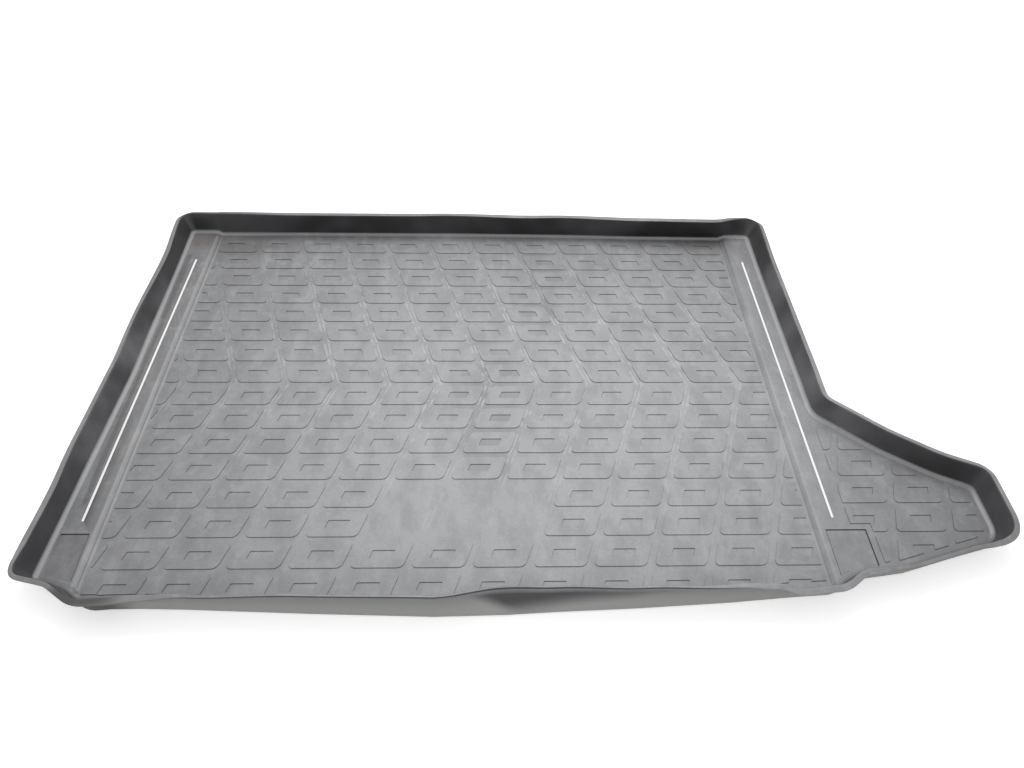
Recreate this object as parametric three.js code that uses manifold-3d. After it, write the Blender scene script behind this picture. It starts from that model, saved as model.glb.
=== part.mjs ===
// A moulded mat for the luggage space of a car: a raised wall with an outward lip runs all round a wide
// floor and its side pocket, and rows of embossed cells in a chevron cover the floor. Millimetres, +Z up.
import * as THREE from 'three';
import Module from 'manifold-3d';

const wasm = await Module();
wasm.setup();

// main sizes, measured where wall meets floor; x is 0 near the tray's middle and y is 0 near its front
const LEFT_WALL = -513;
const RIGHT_WALL = 516.5;
const BACK_WALL = 762;
const POCKET_REACH = 184.5;     // how far the side pocket goes out past the right wall

// sheet and wall
const THICK = 2.6;              // thickness of the moulded sheet
const WALL = 40;                // length of the wall from floor to lip
const LIP = 6.5;                // how far the lip reaches out past the wall
const LOW_LIP = 1.2;            // the same along the middle of the front, where it is nearly rolled in
const POCKET_LIP = 3.5;         // and along the pocket's front
const FILLET = 6;               // inside radius where floor meets wall
const FOOT = 4;                 // outside radius under the wall
const STEP = 66;                // longest distance between two wall sections
const TURN = 0.42;              // most that the wall turns between two sections

// side platforms, which also carry the pocket's floor
const RISE = 5;                 // height of the platforms over the main floor
const BEVEL = 8;                // width of the slope that leads up to them
const LEFT_EDGE = LEFT_WALL + 47.5;   // foot of the left slope at half depth
const RIGHT_EDGE = RIGHT_WALL - 53.5; // foot of the right slope
const LEFT_TURN = 0.019;        // the left slope and strip run a little inwards towards the back
const PATCH_DEPTH = 1;          // depth of the smooth patches at the front corners
const PATCH_BACK = 111;         // where they end towards the back
const PATCHES = [[LEFT_WALL - 40, LEFT_EDGE - 17.5], [RIGHT_EDGE + 15, RIGHT_EDGE + 69]];
const STRIP_WIDTH = 3.2;
const STRIP_HEIGHT = 1.1;
const STRIP_FRONT = 130;
const STRIP_BACK = BACK_WALL - 82;
const STRIPS = [                // each strip's x at its front and back end
  { name: 'reflective_strip_left', front: LEFT_EDGE - 33, back: LEFT_EDGE - 21 },
  { name: 'reflective_strip_right', front: RIGHT_EDGE + 30, back: RIGHT_EDGE + 29 },
];
const GROOVE_DEPTH = 1.3;
const GROOVE_GAP = 0.3;         // clearance under and beside a strip in its groove

// embossed cells
const EMBOSS = 1;               // how far a cell stands over the floor
const ROW_PITCH = 46.19;
const COLUMN_PITCH = 77.8;
const CELL_WIDTH = 67.3;
const CELL_DEPTH = 38;
const CELL_CUT = 6;             // length cut off along each edge at a cell's corners
const WINDOW = { width: 29, from: 13, to: 25.5 };   // the low middle of a cell
const SLANT = { front: 0.33, back: 0.313, pocket: 0.29 };   // sideways lean of the cells' sides
const CHEVRON_Y = 380.3;        // where the lean turns round
const CHEVRON_X = -273.7;       // side of one cell at that height
const FIRST_ROW_Y = 615.3;      // front edge of row 0
const POCKET_SHIFT = -8;        // the pocket's cells start a little further left
const FIELD_EDGE = 4;           // bare border beside the slopes
const FIELD_FRONT = 17;         // and inside the front and back walls
const BARE = { rows: [10, 11], from: -150, to: 80 };   // smooth place near the front middle

// Corners of the line where wall meets floor, anticlockwise from the front left: x, y, corner radius,
// and how far out the edge of the lip lies there. A negative reach means the soft wall leans inwards.
const POCKET_END = RIGHT_WALL + POCKET_REACH;
const OUTLINE = [
  [LEFT_WALL - 16.7, 44.4, 10, 17.2], [LEFT_WALL + 24.3, 34, 36, 16.9], [LEFT_WALL + 62, 8, 36, 16.9],
  [-425, 10.2, 0, 17.4], [-385, 10.2, 0, 13.5], [-330, 8.4, 0, 8], [-188, 1.6, 0, 1], [-36, -4, 0, -1.5],
  [53, -2.6, 0, -14], [114, 0.8, 0, -9.5], [215, 4.8, 0, -3], [331, 11.6, 0, 4.5],
  [378, 15.6, 0, 10.5], [410, 18.6, 0, 20], [RIGHT_WALL - 57.5, 21.5, 30, 18.5],
  [RIGHT_WALL - 24.5, 40.5, 40, 16.5], [RIGHT_WALL + 44.5, 50, 0, 15.5], [POCKET_END - 60, 73.5, 0, 15.5],
  [POCKET_END + 3.5, 90.5, 36, 18.5], [POCKET_END + 3, 178, 14, 19.5], [POCKET_END - 46, 202, 200, 17.5],
  [POCKET_END - 108, 244.5, 250, 18], [RIGHT_WALL, 314, 34, 18], [RIGHT_WALL, 390, 0, 19.5],
  [RIGHT_WALL, 640, 0, 20.5], [RIGHT_WALL + 1, BACK_WALL - 6, 4, 24], [451, BACK_WALL - 5, 0, 5],
  [310, BACK_WALL - 4, 0, 7], [168, BACK_WALL - 1, 0, 12.5], [98, BACK_WALL, 0, 9.5],
  [-43, BACK_WALL + 1, 0, 15.5], [-113, BACK_WALL + 1, 0, 12.5], [-321, BACK_WALL + 1, 0, 12.5],
  [-461, BACK_WALL, 0, 20], [LEFT_WALL, BACK_WALL, 4, 21.5], [LEFT_WALL, 650, 0, 14],
  [LEFT_WALL, 480, 0, 24], [LEFT_WALL, 395, 0, 22], [LEFT_WALL - 7.9, 240, 0, 20],
  [LEFT_WALL - 12.5, 150, 0, 14.2],
];

const ease = (t) => t * t * (3 - 2 * t);
const clamp01 = (t) => Math.min(1, Math.max(0, t));

// Height of the floor next to the wall: low in the middle, raised on the platforms
const leftEdge = (y) => LEFT_EDGE + LEFT_TURN * (y - BACK_WALL / 2);
function floorLevel({ x, y }) {
  const past = x < 0 ? leftEdge(y) - x : x - RIGHT_EDGE;
  return RISE * clamp01(past / BEVEL);
}

// The lip narrows towards the middle of the front and along the front of the pocket
function lipWidth({ x, y }) {
  const low = y < 30 ? ease(clamp01((x + 400) / 110)) * ease(clamp01((390 - x) / 120)) : 0;
  const beside = y < 100 ? ease(clamp01((x - 500) / 40)) * ease(clamp01((695 - x) / 40)) : 0;
  return LIP + (LOW_LIP - LIP) * low + (POCKET_LIP - LIP) * beside;
}

// One corner of the outline: the bend that rounds it off, and the same bend at the edge of the lip
function roundCorner(i) {
  const [before, corner, after] = [-1, 0, 1].map((step) => {
    const [x, y] = OUTLINE[(i + step + OUTLINE.length) % OUTLINE.length];
    return new THREE.Vector2(x, y);
  });
  const [, , radius, reach] = OUTLINE[i];
  const sides = [corner.clone().sub(before), after.clone().sub(corner)];
  const shorter = Math.min(...sides.map((side) => side.length()));
  const [into, onward] = sides.map((side) => side.normalize());
  const [outIn, outOn] = [into, onward].map(({ x, y }) => new THREE.Vector2(y, -x));
  const turn = Math.abs(Math.atan2(into.cross(onward), into.dot(onward)));
  const cut = Math.min(radius * Math.tan(turn / 2), 0.45 * shorter);
  const lip = outIn.clone().add(outOn).multiplyScalar(reach / (1 + outIn.dot(outOn))).add(corner);
  const wider = cut > 0.5 ? 0.75 * reach * Math.tan(turn / 2) * Math.sign(into.cross(onward)) : 0;
  const bendAt = (p, size) => new THREE.QuadraticBezierCurve(
    p.clone().addScaledVector(into, -size), p, p.clone().addScaledVector(onward, size),
  );
  return {
    foot: bendAt(corner, cut), lip: bendAt(lip, cut + wider), outIn, outOn,
    bends: cut > 0.5 ? Math.ceil(turn / TURN) : 0,
  };
}

// Stations along the outline, each with its foot, its way outwards and its place at the edge of the lip
function outlineStations() {
  const corners = OUTLINE.map((_, i) => roundCorner(i));
  const stations = [];
  const add = (foot, lip, out) => {
    const across = lip.clone().sub(foot);
    const reach = across.dot(out);
    stations.push({ point: foot, out, reach, slide: across.addScaledVector(out, -reach) });
  };
  corners.forEach((corner, i) => {
    for (let k = 0; k <= corner.bends; k++) {
      const t = corner.bends ? k / corner.bends : 0.5;
      const out = corner.outIn.clone().lerp(corner.outOn, t).normalize();
      add(corner.foot.getPoint(t), corner.lip.getPoint(t), out);
    }
    const next = corners[(i + 1) % corners.length];
    const [from, to] = [corner.foot.v2, next.foot.v0];
    const fromLip = corner.lip.v2.clone().sub(from);
    const toLip = next.lip.v0.clone().sub(to);
    const pieces = Math.ceil(from.distanceTo(to) / STEP);
    for (let k = 1; k < pieces; k++) {
      const foot = from.clone().lerp(to, k / pieces);
      add(foot, fromLip.clone().lerp(toLip, ease(k / pieces)).add(foot), corner.outOn);
    }
  });
  return stations;
}

// Section of wall and lip: pairs of distance outwards and height, anticlockwise
function wallSection(reach, level, lip) {
  const flange = THICK + lip;
  const length = WALL - level;
  const lean = Math.asin(reach / Math.hypot(length, flange)) - Math.atan(flange / length);
  const up = new THREE.Vector2(Math.sin(lean), Math.cos(lean));
  const over = new THREE.Vector2(up.y, -up.x);
  const place = (a, b) => [up.x * a + over.x * b, level + up.y * a + over.y * b];
  return [
    [-FILLET, -THICK], [THICK - FOOT, -THICK], place(FOOT - THICK, THICK), place(length - THICK, THICK),
    place(length - THICK, flange), place(length, flange), place(length, 0), place(FILLET, 0),
    [-0.3 * FILLET, level + 0.28 * FILLET], [-FILLET, level],
  ];
}

// A closed ring through the same section at every station
function ringGeometry(stations) {
  const rings = stations.map(({ point, out, reach, slide }) => {
    const level = floorLevel(point);
    return wallSection(reach, level, lipWidth(point)).map(([u, v]) => {
      const up = clamp01((v - level) / (WALL - level));
      const { x, y } = point.clone().addScaledVector(out, u).addScaledVector(slide, up);
      return [x, y, v];
    });
  });
  const size = rings[0].length;
  const index = [];
  rings.forEach((_, i) => {
    const next = (i + 1) % rings.length;
    for (let k = 0; k < size; k++) {
      const l = (k + 1) % size;
      const [a, b, c, d] = [i * size + k, i * size + l, next * size + l, next * size + k];
      index.push(a, c, b, a, d, c);
    }
  });
  const geometry = new THREE.BufferGeometry();
  geometry.setAttribute('position', new THREE.Float32BufferAttribute(rings.flat(2), 3));
  geometry.setIndex(index);
  return geometry;
}

// The outline moved inwards, without points that fold over in a tight corner or add nothing to a side
const insetOutline = (stations, inset) => (
  stations.map(({ point, out }) => point.clone().addScaledVector(out, -inset))
    .filter((moved) => stations.every(({ point }) => point.distanceTo(moved) > inset - 0.05))
    .filter((moved, i, all) => moved.distanceTo(all[(i + 1) % all.length]) > 0.5)
    .filter((moved, i, all) => {
      const before = moved.clone().sub(all.at(i - 1)).normalize();
      const after = all[(i + 1) % all.length].clone().sub(moved).normalize();
      return Math.abs(before.cross(after)) > 0.004;
    })
);

function prismGeometry(points, bottom, top, holes = []) {
  const shape = new THREE.Shape(points);
  shape.holes = holes.map((hole) => new THREE.Path(hole));
  const geometry = new THREE.ExtrudeGeometry(shape, { depth: top - bottom, bevelEnabled: false });
  return geometry.translate(0, 0, bottom);
}

// Joins equal points, so that the boolean library gets a closed mesh
function solid(geometry) {
  const position = geometry.getAttribute('position');
  const seen = new Map();
  const vertices = [];
  const triangles = [];
  const count = geometry.index ? geometry.index.count : position.count;
  for (let i = 0; i < count; i++) {
    const v = geometry.index ? geometry.index.getX(i) : i;
    const point = [position.getX(v), position.getY(v), position.getZ(v)];
    const key = point.map((n) => Math.round(n * 1e4)).join();
    if (!seen.has(key)) {
      seen.set(key, seen.size);
      vertices.push(...point);
    }
    triangles.push(seen.get(key));
  }
  const mesh = new wasm.Mesh({
    numProp: 3,
    vertProperties: new Float32Array(vertices),
    triVerts: new Uint32Array(triangles),
  });
  return new wasm.Manifold(mesh);
}

function toGeometry(manifold) {
  const mesh = manifold.getMesh();
  const geometry = new THREE.BufferGeometry();
  geometry.setAttribute('position', new THREE.BufferAttribute(new Float32Array(mesh.vertProperties), 3));
  geometry.setIndex(new THREE.BufferAttribute(new Uint32Array(mesh.triVerts), 1));
  const flat = geometry.toNonIndexed();
  flat.computeVertexNormals();
  return flat;
}

const rectangle = (x0, y0, x1, y1) => [
  new THREE.Vector2(x0, y0), new THREE.Vector2(x1, y0),
  new THREE.Vector2(x1, y1), new THREE.Vector2(x0, y1),
];

// Room over a platform, with the slope as its inner side
function platformSide(side, edge, grow) {
  const foot = edge + side * grow;
  const far = foot + side * (RIGHT_WALL + POCKET_REACH);
  const high = 3 * RISE;
  const run = (BEVEL / RISE) * high;
  const profile = [[foot - side * run, -high], [foot + side * run, high], [far, high], [far, -high]];
  const points = profile.map(([x, z]) => new THREE.Vector2(x, z));
  const geometry = prismGeometry(points, -1.2 * BACK_WALL, WALL).rotateX(Math.PI / 2);
  const turn = side < 0 ? LEFT_TURN : 0;
  const lean = new THREE.Matrix4().makeShear(0, 0, turn, 0, 0, 0);
  return solid(geometry.applyMatrix4(lean).translate(-turn * BACK_WALL / 2, 0, 0));
}

// Sides of one cell in the chevron: x at a given y
const cellSide = (column, y, { shift, slant }) => {
  const lean = Math.max(slant * (CHEVRON_Y - y), SLANT.back * (y - CHEVRON_Y));
  return CHEVRON_X + column * COLUMN_PITCH + shift - lean;
};

// A slanted cell with cut corners and its low middle left open
function cell(row, column, field) {
  const y0 = FIRST_ROW_Y - row * ROW_PITCH;
  const at = (across, up) => new THREE.Vector2(cellSide(column, y0 + up, field) + across, y0 + up);
  const [w, d, c] = [CELL_WIDTH, CELL_DEPTH, CELL_CUT];
  const rim = [
    at(c, 0), at(w - c, 0), at(w, c), at(w, d - c), at(w - c, d), at(c, d), at(0, d - c), at(0, c),
  ];
  const left = (w - WINDOW.width) / 2;
  const right = left + WINDOW.width;
  const gap = [
    at(left, WINDOW.from), at(left, WINDOW.to), at(right, WINDOW.to), at(right, WINDOW.from),
  ];
  return prismGeometry(rim, field.level - 0.5, field.level + EMBOSS, [gap]);
}

// Cells whose middle lies within the given limits, trimmed to the field's own border
function cellField(field) {
  let cells = null;
  for (let row = field.rows[0]; row <= field.rows[1]; row++) {
    const middle = FIRST_ROW_Y - row * ROW_PITCH + CELL_DEPTH / 2;
    for (let column = -4; column <= 18; column++) {
      const x = cellSide(column, middle, field);
      const outside = x + CELL_WIDTH < field.from + 12 || x > field.to - 12;
      const bare = BARE.rows.includes(row) && x > BARE.from && x < BARE.to;
      if (outside || bare) continue;
      const next = solid(cell(row, column, field));
      cells = cells ? cells.add(next) : next;
    }
  }
  return cells.intersect(solid(prismGeometry(field.border, -THICK, WALL)));
}

// floor, wall and platforms
const stations = outlineStations();
const floorLine = insetOutline(stations, 0.25 * FILLET);
const innerLine = insetOutline(stations, FILLET + 1);
const underLine = insetOutline(stations, FILLET + 6);
let liner = solid(ringGeometry(stations)).add(solid(prismGeometry(floorLine, -THICK, 0)));
for (const [side, edge] of [[-1, LEFT_EDGE], [1, RIGHT_EDGE]]) {
  const top = solid(prismGeometry(floorLine, -THICK / 2, RISE));
  const hollow = solid(prismGeometry(underLine, -THICK - 5, RISE - THICK));
  liner = liner.add(top.intersect(platformSide(side, edge, 0)));
  liner = liner.subtract(hollow.intersect(platformSide(side, edge, 1.6 * THICK)));
}

// smooth patches at the front corners
for (const [x0, x1] of PATCHES) {
  const patch = solid(prismGeometry(rectangle(x0, 0, x1, PATCH_BACK), RISE - PATCH_DEPTH, WALL / 2));
  liner = liner.subtract(patch.intersect(solid(prismGeometry(innerLine, -1, WALL))));
}

// fields of embossed cells
const [fieldLeft, fieldRight] = [LEFT_EDGE, RIGHT_EDGE - FIELD_EDGE];
const fieldBack = BACK_WALL - FIELD_FRONT;
const front = stations.filter(({ point, out }) => (
  out.y < -0.9 && point.x > fieldLeft + FIELD_EDGE && point.x < fieldRight - FIELD_EDGE
));
const frontLine = insetOutline(front, FIELD_FRONT);
const besideLeft = (y) => new THREE.Vector2(leftEdge(y) + FIELD_EDGE, y);
const mainBorder = [
  besideLeft(fieldBack), besideLeft(frontLine[0].y), ...frontLine,
  new THREE.Vector2(fieldRight, frontLine.at(-1).y), new THREE.Vector2(fieldRight, fieldBack),
];
const pocketLeft = RIGHT_WALL - 2.5;
const pocketRight = POCKET_END - 9;
const patchSide = PATCHES[1][1] + 9;
const pocketBorder = [
  [patchSide, 60], [patchSide + 22, 64], [pocketRight - 52, 87], [pocketRight - 16, 97],
  [pocketRight - 1, 107], [pocketRight, 166], [pocketRight - 46, 191], [pocketRight - 108, 233],
  [pocketLeft + 16, 284], [pocketLeft, 284], [pocketLeft, PATCH_BACK + 9], [patchSide, PATCH_BACK + 9],
].map(([x, y]) => new THREE.Vector2(x, y));
const fields = [
  {
    border: mainBorder, rows: [-2, 13], from: fieldLeft, to: fieldRight, level: 0,
    shift: 0, slant: SLANT.front,
  },
  {
    border: pocketBorder, rows: [8, 12], from: pocketLeft, to: pocketRight, level: RISE,
    shift: POCKET_SHIFT, slant: SLANT.pocket,
  },
];
for (const field of fields) liner = liner.add(cellField(field));

// reflective strips in their grooves
function stripGeometry({ front: near, back: far }, grow, bottom, top) {
  const a = new THREE.Vector2(near, STRIP_FRONT);
  const b = new THREE.Vector2(far, STRIP_BACK);
  const along = b.clone().sub(a).normalize();
  const across = new THREE.Vector2(-along.y, along.x).multiplyScalar(STRIP_WIDTH / 2 + grow);
  a.addScaledVector(along, -grow);
  b.addScaledVector(along, grow);
  const corners = [
    a.clone().sub(across), b.clone().sub(across), b.clone().add(across), a.clone().add(across),
  ];
  return prismGeometry(corners, bottom, top);
}

const grooveFloor = RISE - GROOVE_DEPTH;
for (const strip of STRIPS) {
  liner = liner.subtract(solid(stripGeometry(strip, GROOVE_GAP, grooveFloor, 2 * RISE)));
}

const rubber = new THREE.MeshStandardMaterial({ color: 0x7b7c7e, roughness: 0.62, metalness: 0 });
const reflector = new THREE.MeshStandardMaterial({ color: 0xe9e9e6, roughness: 0.35, metalness: 0 });

const mat = new THREE.Group();
const linerMesh = new THREE.Mesh(toGeometry(liner), rubber);
linerMesh.name = 'cargo_liner';
mat.add(linerMesh);
for (const strip of STRIPS) {
  const seat = grooveFloor + GROOVE_GAP;
  const mesh = new THREE.Mesh(stripGeometry(strip, 0, seat, seat + STRIP_HEIGHT), reflector);
  mesh.name = strip.name;
  mat.add(mesh);
}

// the origin is the middle of the underside's box
const box = new THREE.Box3().setFromObject(mat);
const middle = box.getCenter(new THREE.Vector3());
mat.position.set(-middle.x, -middle.y, -box.min.z);

export default mat;
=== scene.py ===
# Boot floor mat: one moulded rubber sheet with its wall, lip and embossed cells, and two white strips
import bpy, bmesh, math
from mathutils import Matrix, Vector
from mathutils.geometry import delaunay_2d_cdt


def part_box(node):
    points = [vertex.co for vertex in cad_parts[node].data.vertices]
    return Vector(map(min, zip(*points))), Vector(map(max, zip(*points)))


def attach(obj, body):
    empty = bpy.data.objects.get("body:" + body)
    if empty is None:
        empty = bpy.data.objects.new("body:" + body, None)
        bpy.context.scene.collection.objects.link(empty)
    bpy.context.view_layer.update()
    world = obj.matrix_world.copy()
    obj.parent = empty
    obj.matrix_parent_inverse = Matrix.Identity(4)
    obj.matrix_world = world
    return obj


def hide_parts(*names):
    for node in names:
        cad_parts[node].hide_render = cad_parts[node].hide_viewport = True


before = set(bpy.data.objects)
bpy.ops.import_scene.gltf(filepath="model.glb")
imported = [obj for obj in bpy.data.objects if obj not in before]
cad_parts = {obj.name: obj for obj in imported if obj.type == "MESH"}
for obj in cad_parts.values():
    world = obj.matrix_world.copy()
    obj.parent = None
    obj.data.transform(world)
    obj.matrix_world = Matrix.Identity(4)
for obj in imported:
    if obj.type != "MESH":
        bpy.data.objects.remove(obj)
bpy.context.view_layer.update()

tray = {                                    # mm on the tray's own axes: x 0 near its middle, y 0 at its front
    "left": -513, "right": 516.5, "back": 762, "pocket": 184.5,
    "rise": 5, "bevel": 8, "leftEdge": -465.5, "leftTurn": 0.019, "rightEdge": 463,
}
sheet = {
    "thick": 2.6, "wall": 40, "fillet": 6, "foot": 4,
    "lip": 6.5, "lowLip": 1.2, "pocketLip": 3.5, "cornerLip": 4,
    "step": 13, "fineStep": 3, "turn": 0.11,  # the wall's sections: how far apart, and the most they turn
}
pocketEnd = tray["right"] + tray["pocket"]

# Corners of the wall's foot, anticlockwise from the front left: x, y, radius, reach of the lip outwards
corners = [
    (tray["left"] - 16.7, 44.4, 10, 17.2), (tray["left"] + 24.3, 34, 36, 16.9),
    (tray["left"] + 62, 8, 36, 16.9), (-425, 10.2, 0, 17.4), (-385, 10.2, 0, 13.5), (-330, 8.4, 0, 8),
    (-188, 1.6, 0, 1), (-36, -4, 0, -1.5), (53, -2.6, 0, -14), (114, 0.8, 0, -9.5), (215, 4.8, 0, -3),
    (331, 11.6, 0, 4.5), (378, 15.6, 0, 10.5), (410, 18.6, 0, 20),
    (tray["right"] - 57.5, 21.5, 30, 18.5), (tray["right"] - 24.5, 40.5, 40, 16.5),
    (tray["right"] + 44.5, 50, 0, 15.5), (pocketEnd - 60, 73.5, 0, 15.5),
    (pocketEnd + 3.5, 90.5, 36, 18.5), (pocketEnd + 3, 178, 14, 19.5), (pocketEnd - 46, 202, 200, 17.5),
    (pocketEnd - 108, 244.5, 250, 18), (tray["right"], 314, 34, 18), (tray["right"], 390, 0, 19.5),
    (tray["right"], 640, 0, 20.5), (tray["right"] + 1, tray["back"] - 6, 10, 24),
    (451, tray["back"] - 5, 0, 5), (310, tray["back"] - 4, 0, 7), (168, tray["back"] - 1, 0, 12.5),
    (98, tray["back"], 0, 9.5), (-43, tray["back"] + 1, 0, 15.5), (-113, tray["back"] + 1, 0, 12.5),
    (-321, tray["back"] + 1, 0, 12.5), (-461, tray["back"], 0, 20),
    (tray["left"], tray["back"], 10, 21.5), (tray["left"], 650, 0, 14), (tray["left"], 480, 0, 24),
    (tray["left"], 395, 0, 22), (tray["left"] - 7.9, 240, 0, 20), (tray["left"] - 12.5, 150, 0, 14.2),
]

# Where the frame's origin lies on the tray's axes, read from the left strip's box
stripLow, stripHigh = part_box("reflective_strip_left")
originX = tray["leftEdge"] - 27 - 500 * (stripLow[0] + stripHigh[0])
originY = (130 + tray["back"] - 82) / 2 - 500 * (stripLow[1] + stripHigh[1])


def place(x, y, z=0):                       # tray mm to frame metres
    return Vector(((x - originX) / 1000, (y - originY) / 1000, (z + sheet["thick"]) / 1000))


def smooth(t):
    t = min(1, max(0, t))
    return t * t * (3 - 2 * t)


def bendPoint(a, b, c, t):
    return a * (1 - t) ** 2 + b * 2 * t * (1 - t) + c * t * t


# The wall's foot and rim, rounded in the corners
def roundCorner(i):
    before, corner, after = (Vector(corners[(i + k) % len(corners)][:2]) for k in (-1, 0, 1))
    radius, reach = corners[i][2:]
    into, onward = corner - before, after - corner
    shorter = min(into.length, onward.length)
    into, onward = into.normalized(), onward.normalized()
    turn = abs(math.atan2(into.x * onward.y - into.y * onward.x, into.dot(onward)))
    cut = min(radius * math.tan(turn / 2), 0.45 * shorter)
    outIn, outOn = (Vector((v.y, -v.x)) for v in (into, onward))
    lip = corner + (outIn + outOn) * (reach / (1 + outIn.dot(outOn)))
    side = math.copysign(1, into.x * onward.y - into.y * onward.x)
    wider = 0.75 * reach * math.tan(turn / 2) * side if cut > 0.5 else 0
    foot, rim = ((p - into * size, p, p + onward * size) for p, size in ((corner, cut), (lip, cut + wider)))
    return foot, rim, outIn, outOn, math.ceil(turn / sheet["turn"]) if cut > 0.5 else 0


def leftEdge(y):                            # foot of the left slope, which runs a little inwards to the back
    return tray["leftEdge"] + tray["leftTurn"] * (y - tray["back"] / 2)


def pastSlope(p):                           # how far a spot lies beyond the nearer slope's foot
    return leftEdge(p.y) - p.x if p.x < 0 else p.x - tray["rightEdge"]


def floorLevel(p):
    return tray["rise"] * smooth((pastSlope(p) + 1) / (tray["bevel"] + 2))


# The lip is narrow along the middle of the front, at the pocket's front and at the front left corner
narrowLip = {                               # x from and until, the fade at each end, and the y it lies before
    "lowLip": (-400, 390, 110, 120, 30), "pocketLip": (500, 695, 40, 40, 100),
    "cornerLip": (-440, 80, 30),            # left of this x, before this y, fade
}


def lipWidth(p):
    def stretch(start, end, fadeIn, fadeOut, depth):
        return smooth((p.x - start) / fadeIn) * smooth((end - p.x) / fadeOut) if p.y < depth else 0

    x, y, fade = narrowLip["cornerLip"]
    shares = {name: stretch(*narrowLip[name]) for name in ("lowLip", "pocketLip")}
    shares["cornerLip"] = smooth((x - p.x) / fade) * smooth((y - p.y) / fade)
    return sheet["lip"] + sum((sheet[name] - sheet["lip"]) * share for name, share in shares.items())


def makeStations():                         # each is [foot, way outwards, reach, slide along the wall]
    rounded = [roundCorner(i) for i in range(len(corners))]
    stations = []

    def add(foot, lip, out):
        across = lip - foot
        stations.append([foot, out, across.dot(out), across - out * across.dot(out)])

    for i, (foot, lip, outIn, outOn, count) in enumerate(rounded):
        for k in range(count + 1):
            t = k / count if count else 0.5
            add(bendPoint(*foot, t), bendPoint(*lip, t), outIn.lerp(outOn, t).normalized())
        nextFoot, nextLip = rounded[(i + 1) % len(rounded)][:2]
        start, end = foot[2], nextFoot[0]
        startLip, endLip = lip[2] - start, nextLip[0] - end
        crossing = min(abs(pastSlope(p) - 4) for p in (start, end)) < 14
        pace = sheet["fineStep"] if crossing else sheet["step"]
        pieces = math.ceil((end - start).length / pace)
        for k in range(1, pieces):
            spot = start.lerp(end, k / pieces)
            add(spot, spot + startLip.lerp(endLip, smooth(k / pieces)), outOn)
    return stations


# Rows of one section: outwards and up, then how far it is polished, its tone, and 1 on the outer face
def wallSection(reach, level, lip, out):
    thick, fillet, foot = (sheet[k] for k in ("thick", "fillet", "foot"))
    flange, length = thick + lip, sheet["wall"] - level
    lean = math.asin(reach / math.hypot(length, flange)) - math.atan(flange / length)
    up, over = Vector((math.sin(lean), math.cos(lean))), Vector((math.cos(lean), -math.sin(lean)))
    base = Vector((0, level))

    def at(a, b):
        return base + up * a + over * b

    inner = Vector((-fillet, level))
    curl, bend = min(0.5, 0.3 * lip), min(1.4, 0.4 * lip)
    polish = 1 - 0.18 * abs(out.x)          # side walls get less of the dark wall colour: a painted reflection lightens them
    bendLight = 0.5 - 0.9 * smooth((-out.y - 0.3) / 0.4)  # the bend up to the wall gets a painted highlight, but painted shade at the front
    rimShade = -0.9 * (sheet["lip"] - lip) / (sheet["lip"] - sheet["lowLip"])
    # the bend's first row is a painted shade line where it leaves the floor; the next rows carry its painted
    # light
    rows = [(bendPoint(inner, base, at(fillet, 0), t), shine * polish, tone, 0) for t, shine, tone in (
        (0, 0, -0.25), (0.12, 0, bendLight), (0.35, 0, bendLight), (0.6, 0, bendLight),
        (0.75, 0.2, bendLight / 2), (0.88, 1, 0), (1, 1, 0))]
    rows += [(at(length * k, 0), polish, 0, 0) for k in (0.3, 0.5, 0.7, 0.9)]
    rows += [(at(a, b), shine, 0, 0) for a, b, shine in (
        (length - 1.1, 0.1, polish), (length - 0.3, 0.4, 0.5), (length, 1.2, 0))]
    rows += [(at(a, b), 0, tone, 0) for a, b, tone in (
        (length, flange * 0.5, 0), (length, flange - curl, rimShade / 2),
        (length - 0.3, flange - curl * 0.3, rimShade),
        (length - 1, flange, rimShade), (length - thick + curl, flange, rimShade))]
    # painted shade under the lip's curl
    rows += [(at(a, b), 0, -0.3, 0) for a, b in (
        (length - thick, flange - curl), (length - thick, thick + bend),
        (length - thick - bend * 0.3, thick + bend * 0.3), (length - thick - bend, thick))]
    rows += [(at(length * k, thick), 0, 0, 1) for k in (0.75, 0.6, 0.45, 0.3, 0.2)]
    # the foot's rounded bottom: a painted highlight, then a painted contact shadow at the floor
    side, below = at(foot - thick, thick), Vector((thick - foot, -thick))
    rows += [(bendPoint(side, Vector((thick, -thick)), below, t), 0, tone, 1)
             for t, tone in ((0, 0), (0.25, 0.5), (0.5, 0.7), (0.75, -0.8), (1, -0.8))]
    return rows + [(Vector((-fillet, -thick)), 0, 0, 0)]


def insetLine(stations, inset):
    line = [foot - out * inset for foot, out, *_ in stations]
    line = [p for p in line if all((p - s[0]).length > inset - 0.05 for s in stations)]
    return [p for i, p in enumerate(line) if (p - line[i - 1]).length > 0.4]


def shrunk(loop, by):                       # a rounded loop drawn in towards its middle
    middle = sum(loop, Vector((0, 0))) / len(loop)
    sides = [Vector((math.copysign(1, p.x - middle.x), math.copysign(1, p.y - middle.y))) for p in loop]
    return [p - side * by for p, side in zip(loop, sides)]


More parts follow.
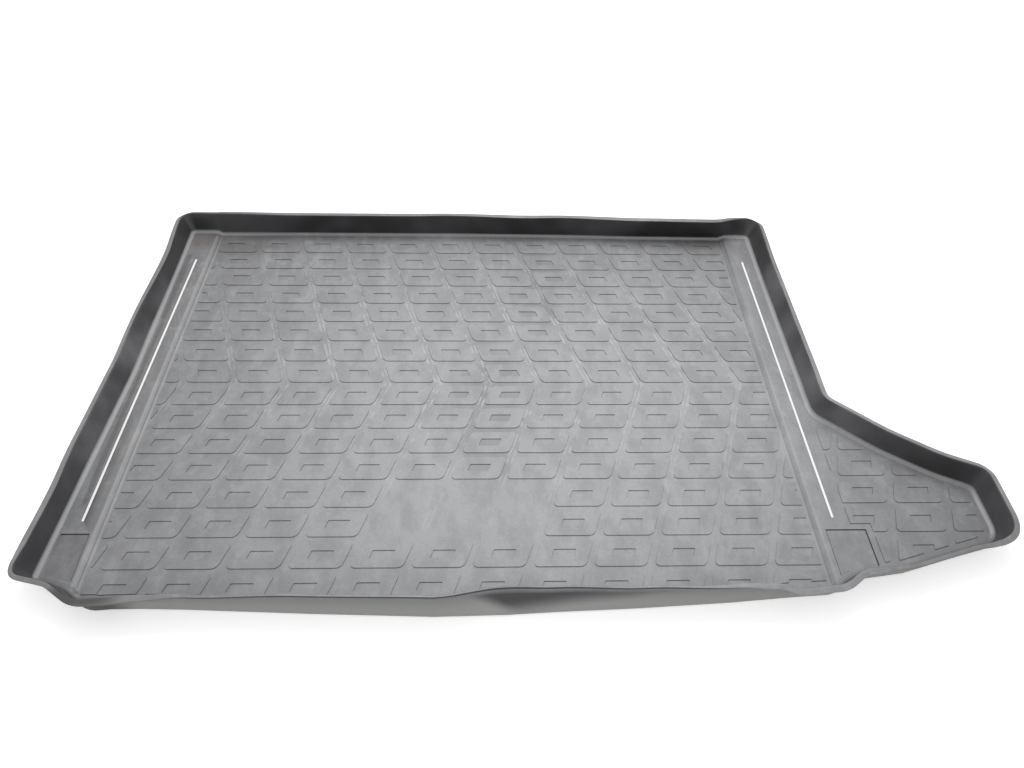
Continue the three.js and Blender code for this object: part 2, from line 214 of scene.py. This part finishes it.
# Smooth patches, strip grooves, the dark band by the left strip and the hollows below
patch = {
    # line is the tone of painted shade along each patch's recessed edge
    "depth": 1, "edge": 0.35, "inner": 1.4, "guard": 0.7, "line": -1,
    "loops": {                              # the inside's tone: its corners as x, y, share of the line's tone
        -0.25: [(-483, 111, 1), (-518.9, 111, 1), (-519, 109, 0), (-520.6, 60, 0), (-519, 54, 0),
                (-514, 50, 0), (-487, 43, 0), (-483.3, 41.4, 0), (-483, 44, 1)],
        -0.1: [(532, 111, 1), (478, 111, 1), (478, 48, 1), (478, 42.6, 1), (488, 48.3, 1), (491, 49.2, 0),
               (512, 52.2, 0), (531.4, 54.9, 0), (532, 58, 1)],
    },
}
groove = {"depth": 1.3, "edge": 0.1, "width": 3.8, "front": 129.7, "back": tray["back"] - 81.7, "lines": [
    (tray["leftEdge"] - 33, tray["leftEdge"] - 21), (tray["rightEdge"] + 30, tray["rightEdge"] + 29)]}
band = {
    0: [(-501.2, 150), (-494, 700), (-505.4, 700), (-505.4, 395), (-510, 240), (-511, 150)],
    -0.4: [(-503, 160), (-497.5, 690), (-504.6, 690), (-504.6, 395), (-508.5, 240), (-508, 160)],
}
hollow = {"inset": 12, "edge": 0.6, "from": 1.6 * sheet["thick"]}
# the slopes' tones are painted highlight and painted shade lines along each slope's foot and face
slope = {                                   # how far past the foot, and tone
    -1: ((-3, 0), (-1.8, 0.2), (1.2, 0.2), (2, -0.45), (2.8, -0.45),
         (3.6, 0.3), (6, 0.3), (8, 0.3), (9.5, 0)),
    1: ((-1, 0), (0.8, -0.45), (1.8, -0.45), (2.6, 0.12), (4.5, 0.12),
        (6, 0.12), (8, 0.12), (9.5, 0)),
}


def slopeLine(side, past):                  # along a slope, short of the walls
    front = 33 + 0.67 * past if side < 0 else 34 + 0.6 * abs(past)
    return [Vector(((leftEdge(y) if side < 0 else tray["rightEdge"]) + side * past, y))
            for y in (front, 400, tray["back"] - 14)]


def points(loop):
    return [Vector(p[:2]) for p in loop]


def topFeatures(stations):                  # (points, closed, how far they lie below the floor, tones)
    found = [(insetLine(stations, sheet["fillet"] + 1), True, 0, 0)]
    found += [(slopeLine(side, past), False, 0, tone) for side in slope for past, tone in slope[side]]
    found += [(points(loop), True, 0, tone) for tone, loop in band.items()]
    for tone, loop in patch["loops"].items():
        line = [tone + (patch["line"] - tone) * share for *_, share in loop]
        loop = points(loop)
        found += [(shrunk(loop, -patch["guard"]), True, 0, 0), (loop, True, 0, line)]
        found += [(shrunk(loop, patch["edge"]), True, patch["depth"], line)]
        found += [(shrunk(loop, patch["inner"]), True, patch["depth"], tone)]
    for front, back in groove["lines"]:
        loop = points([(x + side * groove["width"] / 2, y) for side, x, y in (
            (-1, front, groove["front"]), (1, front, groove["front"]),
            (1, back, groove["back"]), (-1, back, groove["back"]))])
        # the groove's floor gets painted shade
        found += [(loop, True, 0, 0), (shrunk(loop, groove["edge"]), True, groove["depth"], -0.5)]
    return found


def underFeatures(stations):                # (points, closed, share of the hollow's height, tone)
    found = [(slopeLine(side, hollow["from"] + past), False, 1, 0)
             for side in slope for past in (0, 2, 4, 6, 8)]
    for side in (-1, 1):
        for inset, share in ((hollow["inset"], 0), (hollow["inset"] + hollow["edge"], 1)):
            line = [p for p in insetLine(stations, inset) if p.x * side > 0 and pastSlope(p) > hollow["from"]]
            gap = max(range(len(line)), key=lambda i: (line[i] - line[i - 1]).length)
            found.append((line[gap:] + line[:gap], True, share, 0))
    return found


def fillSheet(outer, features, height):     # triangles within the outer line that keep every feature's edges
    spots, edges, tags = [spot for spot, _ in outer], [], []
    edges += [(i, (i + 1) % len(outer)) for i in range(len(outer))]
    # the outer line, where the wall's bend leaves the floor, gets a painted shade line
    tags += [(0, -0.25)] * len(outer)
    for loop, closed, drop, tone in features:
        first, last = len(spots), len(spots) + len(loop) - 1
        spots += loop
        tags += [(drop, t) for t in (tone if isinstance(tone, list) else [tone] * len(loop))]
        edges += [(i, i + 1) for i in range(first, last)] + ([(last, first)] if closed else [])
    flat, _, faces, origins, *_ = delaunay_2d_cdt(spots, edges, [], 1, 1e-4)
    found, tones = [], []
    for p, origin in zip(flat, origins):
        drop, tone = max((tags[i] for i in origin), default=(0, 0))
        level = outer[origin[0]][1] if origin and origin[0] < len(outer) else height(p, drop)
        found.append(place(p.x, p.y, level))
        tones.append(tone)
    return found, tones, faces


def sheetMesh():
    stations = makeStations()
    sections = [wallSection(reach, floorLevel(foot), lipWidth(foot), out) for foot, out, reach, _ in stations]
    size, count = len(sections[0]), len(stations)
    spots, marks, faces = [], [], []        # marks are polish, tone and outer face
    for (foot, out, _, slide), section in zip(stations, sections):
        level = section[0][0].y
        for (u, v), *mark in section:
            share = min(1, max(0, (v - level) / (sheet["wall"] - level)))
            spot = foot + out * u + slide * share
            spots.append(place(spot.x, spot.y, v))
            marks.append(mark)
    for i in range(count):
        a, b = i * size, (i + 1) % count * size
        faces += [(a + k, b + k, b + k + 1, a + k + 1) for k in range(size - 1)]

    def underside(p, share):
        past = (pastSlope(p) - hollow["from"]) / tray["bevel"]
        return -sheet["thick"] + share * tray["rise"] * smooth(past)

    inner = [foot - out * sheet["fillet"] for foot, out, *_ in stations]
    above = [(p, section[0][0].y) for p, section in zip(inner, sections)]
    below = [(p, -sheet["thick"]) for p in inner]
    for outer, features, height, flip in (
            (above, topFeatures(stations), lambda p, drop: floorLevel(p) - drop, False),
            (below, underFeatures(stations), underside, True)):
        more, tones, cells = fillSheet(outer, features, height)
        faces += [tuple(len(spots) + k for k in (reversed(cell) if flip else cell)) for cell in cells]
        spots += more
        marks += [(0, 0 if flip else tone, 0) for tone in tones]
    mesh = bpy.data.meshes.new("linerSheet")
    mesh.from_pydata(spots, [], faces)
    for name, values in zip(("polish", "tone", "outside"), zip(*marks)):
        mesh.attributes.new(name, "FLOAT", "POINT").data.foreach_set("value", values)
    weld = bmesh.new()
    weld.from_mesh(mesh)
    bmesh.ops.remove_doubles(weld, verts=weld.verts, dist=2e-6)
    print("open edges in the sheet:", sum(len(e.link_faces) != 2 for e in weld.edges))
    weld.to_mesh(mesh)
    weld.free()
    return mesh, stations


def finished(name, mesh, angle=35):         # an object at the origin, smooth except at its edges
    mesh.shade_smooth()
    mesh.set_sharp_from_angle(angle=math.radians(angle))
    piece = bpy.data.objects.new(name, mesh)
    bpy.context.collection.objects.link(piece)
    return piece


sheetData, stations = sheetMesh()
linerSheet = finished("linerSheet", sheetData)
print("sheet made:", len(sheetData.polygons), "faces")

# Embossed cells: rings on a grid, sheared into the chevron and trimmed by their field's border
cells = {
    "rowPitch": 46.19, "columnPitch": 77.8, "width": 67.3, "depth": 38, "corner": 7, "height": 1, "sunk": 0.4,
    "window": 29, "windowFrom": 13, "windowTo": 25.5, "windowCorner": 1.2, "slant": 0.33, "backSlant": 0.313,
    "chevronX": -273.7, "chevronY": 380.3, "firstRow": 615.3, "bevel": 0.15, "sideShade": -0.5,
}
bare = {"rows": (10, 11), "from": -150, "to": 80}


class Tree:                                 # short way to add and join nodes
    def __init__(self, tree):
        self.tree = tree

    def add(self, kind, settings=None, **links):
        node = self.tree.nodes.new(kind)
        for key, value in (settings or {}).items():
            setattr(node, key, value)
        for key, value in links.items():
            name = key.replace("_", " ")
            target = node.inputs[int(name[1:])] if name[1:].isdigit() else node.inputs[name]
            for one in value if isinstance(value, list) else [value]:
                if isinstance(one, bpy.types.NodeSocket):
                    self.tree.links.new(one, target)
                else:
                    target.default_value = one
        return node

    def maths(self, operation, *values):
        return self.add("ShaderNodeMath", {"operation": operation},
                        **{f"n{i}": v for i, v in enumerate(values)}).outputs[0]


def cellTree():
    tree = bpy.data.node_groups.new("embossedCells", "GeometryNodeTree")
    for name, kind in (
            ("Border", "Object"), ("Columns", "Int"), ("Rows", "Int"), ("Column pitch", "Float"),
            ("Row pitch", "Float"), ("Middle", "Vector"), ("Slant", "Float"), ("Back slant", "Float"),
            ("Chevron height", "Float"), ("Width", "Float"), ("Depth", "Float"), ("Corner", "Float"),
            ("Window width", "Float"), ("Window depth", "Float"), ("Window corner", "Float"),
            ("Window middle", "Float"),
            ("Thickness", "Float"), ("Bare from", "Vector"), ("Bare to", "Vector"), ("Material", "Material")):
        tree.interface.new_socket(name, in_out="INPUT", socket_type="NodeSocket" + kind)
    tree.interface.new_socket("Geometry", in_out="OUTPUT", socket_type="NodeSocketGeometry")
    t = Tree(tree)
    ask = t.add("NodeGroupInput").outputs

    def rounded(width, depth, corner, count):
        curve = t.add("GeometryNodeCurvePrimitiveQuadrilateral", Width=width, Height=depth)
        curve = t.add("GeometryNodeFilletCurve", {"mode": "POLY"}, Curve=curve.outputs[0], Count=count,
                      Radius=corner)
        return curve.outputs[0]

    # one ring: a rounded outline with a window, filled and thickened
    outline = rounded(ask["Width"], ask["Depth"], ask["Corner"], 5)
    window = rounded(ask["Window width"], ask["Window depth"], ask["Window corner"], 2)
    lift = t.add("ShaderNodeCombineXYZ", Y=ask["Window middle"])
    window = t.add("GeometryNodeTransform", Geometry=window, Translation=lift.outputs[0])
    both = t.add("GeometryNodeJoinGeometry", Geometry=[outline, window.outputs[0]])
    face = t.add("GeometryNodeFillCurve", {"mode": "TRIANGLES"}, Curve=both.outputs[0])
    raised = t.add("GeometryNodeExtrudeMesh", Mesh=face.outputs[0], Offset_Scale=ask["Thickness"],
                   Individual=False)
    below = t.add("GeometryNodeFlipFaces", Mesh=face.outputs[0])
    ring = t.add("GeometryNodeJoinGeometry", Geometry=[raised.outputs[0], below.outputs[0]])
    ring = t.add("GeometryNodeMergeByDistance", Geometry=ring.outputs[0], Distance=1e-6)
    # a grid of them, without the bare place
    columns = t.maths("SUBTRACT", ask["Columns"], 1.0)
    rows = t.maths("SUBTRACT", ask["Rows"], 1.0)
    grid = t.add("GeometryNodeMeshGrid", Vertices_X=ask["Columns"], Vertices_Y=ask["Rows"],
                 Size_X=t.maths("MULTIPLY", columns, ask["Column pitch"]),
                 Size_Y=t.maths("MULTIPLY", rows, ask["Row pitch"]))
    grid = t.add("GeometryNodeTransform", Geometry=grid.outputs[0], Translation=ask["Middle"])
    here = t.add("ShaderNodeSeparateXYZ", Vector=t.add("GeometryNodeInputPosition").outputs[0]).outputs
    low = t.add("ShaderNodeSeparateXYZ", Vector=ask["Bare from"]).outputs
    high = t.add("ShaderNodeSeparateXYZ", Vector=ask["Bare to"]).outputs
    inside = [t.maths("GREATER_THAN", here[i], low[i]) for i in (0, 1)]
    inside += [t.maths("LESS_THAN", here[i], high[i]) for i in (0, 1)]
    met = t.maths("ADD", t.maths("ADD", *inside[:2]), t.maths("ADD", *inside[2:]))
    grid = t.add("GeometryNodeDeleteGeometry", {"domain": "POINT"}, Geometry=grid.outputs[0],
                 Selection=t.maths("GREATER_THAN", met, 3.5))
    many = t.add("GeometryNodeInstanceOnPoints", Points=grid.outputs[0], Instance=ring.outputs[0])
    many = t.add("GeometryNodeRealizeInstances", Geometry=many.outputs[0])
    # leaned into the chevron, and trimmed by the border
    ahead = t.maths("SUBTRACT", ask["Chevron height"], here[1])
    behind = t.maths("MULTIPLY", ahead, t.maths("MULTIPLY", ask["Back slant"], -1.0))
    leaned = t.maths("MAXIMUM", t.maths("MULTIPLY", ahead, ask["Slant"]), behind)
    lean = t.add("ShaderNodeCombineXYZ", X=t.maths("MULTIPLY", leaned, -1.0))
    many = t.add("GeometryNodeSetPosition", Geometry=many.outputs[0], Offset=lean.outputs[0])
    border = t.add("GeometryNodeObjectInfo", Object=ask["Border"])
    trimmed = t.add("GeometryNodeMeshBoolean", {"operation": "INTERSECT", "solver": "EXACT"},
                    n1=[many.outputs[0], border.outputs["Geometry"]])
    done = t.add("GeometryNodeSetMaterial", Geometry=trimmed.outputs[0], Material=ask["Material"])
    t.add("NodeGroupOutput", n0=done.outputs[0])
    return tree


def prismObject(name, loop, low, high):
    count = len(loop)
    spots = [place(x, y, z) for z in (low, high) for x, y in loop]
    sides = [(i, (i + 1) % count, (i + 1) % count + count, i + count) for i in range(count)]
    mesh = bpy.data.meshes.new(name)
    mesh.from_pydata(spots, [], sides + [tuple(reversed(range(count))), tuple(range(count, 2 * count))])
    prism = bpy.data.objects.new(name, mesh)
    bpy.context.collection.objects.link(prism)
    return prism


def embossedField(tree, name, loop, columns, rows, shift, slant, level, material):
    border = prismObject(name + "Border", loop, level - 3, level + 6)
    host = bpy.data.objects.new(name + "Host", bpy.data.meshes.new(name + "Host"))
    bpy.context.collection.objects.link(host)
    middleX = cells["chevronX"] + sum(columns) / 2 * cells["columnPitch"] + shift + cells["width"] / 2
    middleY = cells["firstRow"] - sum(rows) / 2 * cells["rowPitch"] + cells["depth"] / 2
    chevron = place(0, cells["chevronY"]).y
    bareRows = [cells["firstRow"] - row * cells["rowPitch"] for row in bare["rows"]]
    flatX = slant * (cells["chevronY"] - sum(bareRows) / 2 - cells["depth"] / 2) + cells["width"] / 2
    given = {
        "Border": border, "Columns": columns[1] - columns[0] + 1, "Rows": rows[1] - rows[0] + 1,
        "Column pitch": cells["columnPitch"] / 1000, "Row pitch": cells["rowPitch"] / 1000,
        "Middle": place(middleX, middleY, level - cells["sunk"]), "Slant": slant, "Chevron height": chevron,
        "Back slant": cells["backSlant"],
        "Width": cells["width"] / 1000, "Depth": cells["depth"] / 1000, "Corner": cells["corner"] / 1000,
        "Window width": cells["window"] / 1000, "Window corner": cells["windowCorner"] / 1000,
        "Window depth": (cells["windowTo"] - cells["windowFrom"]) / 1000,
        "Window middle": ((cells["windowTo"] + cells["windowFrom"]) - cells["depth"]) / 2000,
        "Thickness": (cells["height"] + cells["sunk"]) / 1000,
        "Bare from": place(bare["from"] + flatX, min(bareRows)), "Material": material,
        "Bare to": place(bare["to"] + flatX, max(bareRows) + cells["depth"]),
    }
    nodes = host.modifiers.new("cells", "NODES")
    nodes.node_group = tree
    for item in tree.interface.items_tree:
        if item.in_out == "INPUT":
            nodes[item.identifier] = given[item.name]
    edge = host.modifiers.new("edge", "BEVEL")
    edge.width, edge.segments = cells["bevel"] / 1000, 1
    edge.limit_method, edge.angle_limit = "ANGLE", math.radians(50)
    evaluated = host.evaluated_get(bpy.context.evaluated_depsgraph_get())
    mesh = bpy.data.meshes.new_from_object(evaluated)
    mesh.name = name
    # the cells' side faces get painted shade
    sides = [cells["sideShade"] if face.normal.z < 0.5 else 0.0 for face in mesh.polygons]
    for attribute, values in (("tone", sides), ("raised", [1.0] * len(sides))):
        mesh.attributes.new(attribute, "FLOAT", "FACE").data.foreach_set("value", values)
    for thing in (host, border):
        bpy.data.objects.remove(thing)
    print(name, "made:", len(mesh.polygons), "faces")
    return finished(name, mesh, 30)


# Finishes
class Value:                                # a number in a shader, so that plain sums add Math nodes
    def __init__(self, t, socket):
        self.t, self.socket = t, socket

    def do(self, operation, *others):
        sockets = [o.socket if isinstance(o, Value) else float(o) for o in (self, *others)]
        return Value(self.t, self.t.maths(operation, *sockets))

    def __add__(self, o): return self.do("ADD", o)
    def __sub__(self, o): return self.do("SUBTRACT", o)
    def __mul__(self, o): return self.do("MULTIPLY", o)
    def __rsub__(self, o): return (self * -1) + o
    __radd__, __rmul__ = __add__, __mul__

    def ramp(self, low, high):              # 0 below low, 1 above high, smooth between
        node = self.t.add("ShaderNodeMapRange", {"interpolation_type": "SMOOTHSTEP"},
                          n0=self.socket, n1=low, n2=high)
        return Value(self.t, node.outputs[0])


class Finish(Tree):
    def __init__(self, name):
        self.material = bpy.data.materials.new(name)
        self.material.use_nodes = True
        super().__init__(self.material.node_tree)
        self.shader = self.tree.nodes["Principled BSDF"]
        self.where = self.add("ShaderNodeTexCoord").outputs["Object"]

    def noise(self, scale, detail=3, rough=0.55, stretch=(1, 1, 1), move=(0, 0, 0)):
        spot = self.add("ShaderNodeMapping", Vector=self.where, Scale=stretch, Location=move).outputs[0]
        node = self.add("ShaderNodeTexNoise", Vector=spot, Scale=scale, Detail=detail, Roughness=rough)
        return Value(self, node.outputs["Fac"])

    def grain(self, scale):
        node = self.add("ShaderNodeTexVoronoi", {"feature": "SMOOTH_F1"}, Vector=self.where,
                        Scale=scale, Smoothness=0.6)
        return Value(self, node.outputs["Distance"])

    def attribute(self, name):
        return Value(self, self.add("ShaderNodeAttribute", {"attribute_name": name}).outputs["Fac"])

    def axes(self):                         # the place's own coordinates, in metres
        return [Value(self, s) for s in self.add("ShaderNodeSeparateXYZ", Vector=self.where).outputs]

    def vector(self, operation, *values):
        return self.add("ShaderNodeVectorMath", {"operation": operation},
                        **{f"n{i}": v for i, v in enumerate(values)}).outputs

    def near(self, x, y, width, depth, soft):  # 1 inside an uneven oval on the floor, 0 away from it
        moved = self.vector("SUBTRACT", self.where, place(x, y))[0]
        moved = self.vector("MULTIPLY", moved, (1000 / width, 1000 / depth, 0))[0]
        far = Value(self, self.vector("LENGTH", moved)["Value"])
        return (far + (self.noise(14, 3) - 0.5) * 0.6).ramp(1 + soft / depth, 1 - soft / depth)

    def spot(self, colour, where, share, paint):
        return self.mix(self.near(*where) * share, colour, paint)

    def mix(self, share, a, b):
        node = self.add("ShaderNodeMix", {"data_type": "RGBA"}, n0=share.socket, n6=a, n7=b)
        return node.outputs[2]

    def bump(self, height, distance, strength):
        return self.add("ShaderNodeBump", Height=height.socket, Distance=distance, Strength=strength).outputs[0]

    def use(self, name, value):
        value = value.socket if isinstance(value, Value) else value
        if isinstance(value, bpy.types.NodeSocket):
            self.tree.links.new(value, self.shader.inputs[name])
        else:
            self.shader.inputs[name].default_value = value


# A spot on the rubber is x, y, width, depth and softness in mm, then its share and colour
rubberLook = {
    "dull": (0.142, 0.143, 0.15, 1), "clean": (0.19, 0.192, 0.2, 1),
    # sheen is a painted highlight on the floor's middle; leftPlatformShade is painted shade where that sheen is
    # weaker
    "sheen": ((80, 280, 520, 400, 250), 0.9, (0.313, 0.32, 0.329, 1)),
    "leftPlatformShade": ((-492, 420, 24, 360, 20), 0.4, (0.12, 0.12, 0.122, 1)),
    "dust": (0.375, 0.382, 0.39, 1), "streak": (0.36, 0.36, 0.365, 1),
    "grain": (0.11, 0.11, 0.112, 1), "mottle": (0.13, 0.13, 0.133, 1),
    "dampAt": [(120, 620, 38, 130, 90), (35, 330, 52, 130, 80)], "damp": (0.1, 0.1, 0.103, 1),
    "scuffedAt": (20, 430, 430, 240, 160), "scuff": (0.48, 0.49, 0.5, 1),
    "stainBackLeft": ((-420, 735, 60, 40, 30), 0.5, (0.05, 0.048, 0.046, 1)),
    "stainPlatform": ((-490, 745, 28, 32, 12), 0.5, (0.075, 0.058, 0.045, 1)),
    "darkBackRight": ((420, 740, 50, 26, 20), 0.4, (0.06, 0.058, 0.056, 1)),
    "cornerShadow": ((-452, 5, 44, 15, 7), 0.85, (0.035, 0.031, 0.029, 1)),
    "outerLow": (0.34, 0.34, 0.33, 1), "outerHigh": (0.19, 0.19, 0.19, 1),
    "bulgeShade": {"x": 62, "left": 69, "right": 267, "colour": (0.03, 0.027, 0.031, 1)},
    "paleTone": (0.32, 0.32, 0.325, 1), "darkTone": (0.02, 0.02, 0.021, 1),
    "wallDark": (0.006, 0.006, 0.007, 1), "wallPale": (0.04, 0.04, 0.045, 1),
    "reflectionAt": [(-530, 400, 60, 170, 110), (540, 440, 60, 260, 120)], "wallReflection": (0.13, 0.127, 0.14, 1),
    "roughness": 0.42, "specular": 0.8, "grainSize": 900, "grainDepth": 0.00012,
}


def channelScuffs(f, along, deep):          # 1 just inside both edges of the slanting channels between cells
    ahead = place(0, cells["chevronY"]).y - deep
    leaned = (ahead * cells["slant"]).do("MAXIMUM", ahead * -cells["backSlant"])
    unleaned = along - place(cells["chevronX"], 0).x + leaned
    middle = 0.5 * (1 + cells["width"] / cells["columnPitch"])
    fromMiddle = ((unleaned * (1000 / cells["columnPitch"]) + (10.5 - middle)).do("FRACT") - 0.5).do("ABSOLUTE")
    return (fromMiddle - 0.045).do("ABSOLUTE").ramp(0.035, 0.01)


def mouldedRubber():
    f, look = Finish("mouldedRubber"), rubberLook
    polish, tone, outside, raised = (f.attribute(name) for name in ("polish", "tone", "outside", "raised"))
    along, deep, height = f.axes()
    broad, cloudy, fine, speckle = f.noise(3.5, 3), f.noise(9, 2), f.noise(70, 4), f.noise(420, 2)
    streaks = f.noise(16, 3, stretch=(3, 0.7, 1), move=(2, 1, 0))
    mottled = f.noise(32, 5, 0.65, stretch=(1, 0.6, 1))
    ragged = f.noise(55, 4, move=(4, 2, 0))
    # the floor: a painted sheen brightens the middle and painted shade darkens the left platform; it is also
    # mottled, damp in some channels and scuffed along others
    colour = f.mix(broad.ramp(0.3, 0.7), look["dull"], look["clean"])
    for name in ("sheen", "leftPlatformShade"):
        colour = f.spot(colour, *look[name])
    for pattern, low, high, share, name in (
            (fine, 0.45, 0.8, 0.4, "dust"), (streaks, 0.5, 0.72, 0.35, "streak"),
            (speckle, 0.35, 0.7, 0.2, "grain"), (mottled, 0.4, 0.64, 0.38, "mottle")):
        colour = f.mix(pattern.ramp(low, high) * share, colour, look[name])
    damp = f.near(*look["dampAt"][0]) + f.near(*look["dampAt"][1])
    colour = f.mix(damp * (1 - raised * 0.8) * 0.45, colour, look["damp"])
    scuffs = channelScuffs(f, along, deep) * ragged.ramp(0.45, 0.6)
    colour = f.mix(scuffs * f.near(*look["scuffedAt"]) * 0.5, colour, look["scuff"])
    # stains, and a darker patch by the back right wall
    for name in ("stainBackLeft", "stainPlatform", "darkBackRight"):
        colour = f.spot(colour, *look[name])
    # the outer face: a painted reflection of the pale floor makes it pale below, painted shade darkens it
    # higher up, and painted shade darkens it where the front wall bulges
    share = height * (1000 / sheet["wall"])
    outer = f.mix(share.ramp(0.1, 1.1), look["outerLow"], look["outerHigh"])
    bulgeShade = look["bulgeShade"]
    middle = place(bulgeShade["x"], 0).x
    inBulge = (share - (middle - along) * (1000 / bulgeShade["left"])).ramp(-0.1, 0.4)
    inBulge = inBulge * (share - (along - middle) * (1000 / bulgeShade["right"])).ramp(-0.1, 0.6)
    colour = f.mix(outside, colour, f.mix(inBulge, outer, bulgeShade["colour"]))
    # painted highlights and painted shade lines from the tone marks at the bends, slopes, patch edges, grooves
    # and cell sides, then the smoother and darker walls
    colour = f.mix(tone.ramp(0, 1), colour, look["paleTone"])
    colour = f.mix((tone * -1).ramp(0, 1), colour, look["darkTone"])
    # the walls' cloudy lighter patches, and the lighter spots on the side walls, are painted reflections
    reflectionSpots = f.near(*look["reflectionAt"][0]) + f.near(*look["reflectionAt"][1])
    walls = f.mix(cloudy.ramp(0.4, 0.7), look["wallDark"], look["wallPale"])
    walls = f.mix(reflectionSpots * cloudy.ramp(0.3, 0.65), walls, look["wallReflection"])
    # a painted shadow in the front left corner, over floor and wall alike
    f.use("Base Color", f.spot(f.mix(polish, colour, walls), *look["cornerShadow"]))
    f.use("Roughness", look["roughness"] - polish * 0.1 + fine * 0.08)
    f.use("Specular IOR Level", look["specular"])
    f.use("Normal", f.bump(f.grain(look["grainSize"]), look["grainDepth"], 0.5))
    return f.material


def whiteFilm():
    f = Finish("whiteFilm")
    worn = f.noise(40, 3).ramp(0.5, 0.8) * 0.4
    f.use("Base Color", f.mix(worn, (0.9, 0.9, 0.9, 1), (0.78, 0.78, 0.78, 1)))
    f.use("Roughness", 0.35 + f.noise(90) * 0.1)
    return f.material


rubber, film = mouldedRubber(), whiteFilm()
linerSheet.data.materials.append(rubber)
print("finishes made")

# Borders that trim the two fields of cells
margin = {"front": 17, "back": 17, "side": 4, "pocketSide": 9, "turning": 8}
fieldBack = tray["back"] - margin["back"]
fieldRight = tray["rightEdge"] - margin["side"]
frontLine = insetLine([
    s for s in stations if s[1].y < -0.9
    and tray["leftEdge"] + margin["side"] < s[0].x < tray["rightEdge"] - margin["turning"]], margin["front"])
trayBorder = [(leftEdge(y) + margin["side"], y) for y in (fieldBack, frontLine[0].y)]
trayBorder += [tuple(p) for p in frontLine[::3]]
trayBorder += [(fieldRight, frontLine[-1].y), (fieldRight, fieldBack)]
pocketRight, pocketLeft, patchSide = pocketEnd - margin["pocketSide"], tray["right"] - 2.5, 541
pocketBorder = [
    (patchSide, 60), (patchSide + 22, 64), (pocketRight - 52, 87), (pocketRight - 16, 97),
    (pocketRight - 1, 107), (pocketRight, 166), (pocketRight - 46, 191), (pocketRight - 108, 233),
    (pocketLeft + 16, 284), (pocketLeft, 284), (pocketLeft, 120), (patchSide, 120)]
plans = {                                   # border, first and last column and row, shift, slant, floor level
    "trayCells": (trayBorder, (-4, 12), (-2, 13), 0, cells["slant"], 0),
    "pocketCells": (pocketBorder, (9, 15), (8, 12), -8, 0.29, tray["rise"]),
}
tree = cellTree()
fields = [embossedField(tree, name, *plan, rubber) for name, plan in plans.items()]
bpy.data.node_groups.remove(tree)

# Riding, the strips' slots, and the CAD liner hidden
for piece in [linerSheet] + fields:
    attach(piece, "root")
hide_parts("cargo_liner")
for name in ("reflective_strip_left", "reflective_strip_right"):
    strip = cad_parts[name]
    strip.data.materials.clear()
    strip.data.materials.append(film)

# Floor, light and camera
studio = {
    "cameraAt": (27, -467, 900), "lens": 28.125, "pitch": 43.33, "roll": 2.01, "yaw": -2.74,
    "floor": 0.93, "lift": 0.42, "world": 0.75, "key": 30, "keyAt": (0.1, 1.3, 2), "keySize": (1.9, 1.2),
}
floorMesh = bpy.data.meshes.new("studioFloor")
floorMesh.from_pydata([(x, y, 0) for x, y in ((-5, -4), (5, -4), (5, 6), (-5, 6))], [], [(0, 1, 2, 3)])
floorObject = bpy.data.objects.new("studioFloor", floorMesh)
bpy.context.collection.objects.link(floorObject)
floorPaint = Finish("palePaint")
floorPaint.use("Base Color", (studio["floor"],) * 3 + (1,))
floorPaint.use("Roughness", 0.6)
seen = Value(floorPaint, floorPaint.add("ShaderNodeLightPath").outputs["Is Camera Ray"])
floorPaint.use("Emission Color", floorPaint.mix(seen, (0, 0, 0, 1), (1, 1, 1, 1)))
floorPaint.use("Emission Strength", studio["lift"])
floorMesh.materials.append(floorPaint.material)

world = bpy.data.worlds.new("softRoom")
bpy.context.scene.world = world
world.use_nodes = True
w = Tree(world.node_tree)
back = world.node_tree.nodes["Background"]
back.inputs["Color"].default_value = (1, 1, 1, 1)
seen = w.add("ShaderNodeLightPath").outputs["Is Camera Ray"]
strength = w.maths("ADD", w.maths("MULTIPLY", seen, 1 - studio["world"]), studio["world"])
world.node_tree.links.new(strength, back.inputs["Strength"])

key = bpy.data.lights.new("key", "AREA")
key.shape, key.size, key.size_y, key.energy = "RECTANGLE", *studio["keySize"], studio["key"]
keyObject = bpy.data.objects.new("key", key)
bpy.context.collection.objects.link(keyObject)
keyObject.location = studio["keyAt"]
keyObject.rotation_euler = (Vector((0, 0, 0)) - keyObject.location).to_track_quat("-Z", "Y").to_euler()

camera = bpy.data.objects.new("camera", bpy.data.cameras.new("camera"))
bpy.context.collection.objects.link(camera)
camera.data.lens, camera.data.sensor_width, camera.data.clip_start = studio["lens"], 36, 0.01
yaw, pitch, roll = (Matrix.Rotation(math.radians(studio[name]), 3, axis)
                    for name, axis in (("yaw", "Z"), ("pitch", "X"), ("roll", "Z")))
camera.matrix_world = Matrix.Translation(place(*studio["cameraAt"])) @ (yaw @ pitch @ roll).to_4x4()
bpy.context.scene.camera = camera
bpy.context.scene.view_settings.view_transform = "Standard"
print("studio ready")
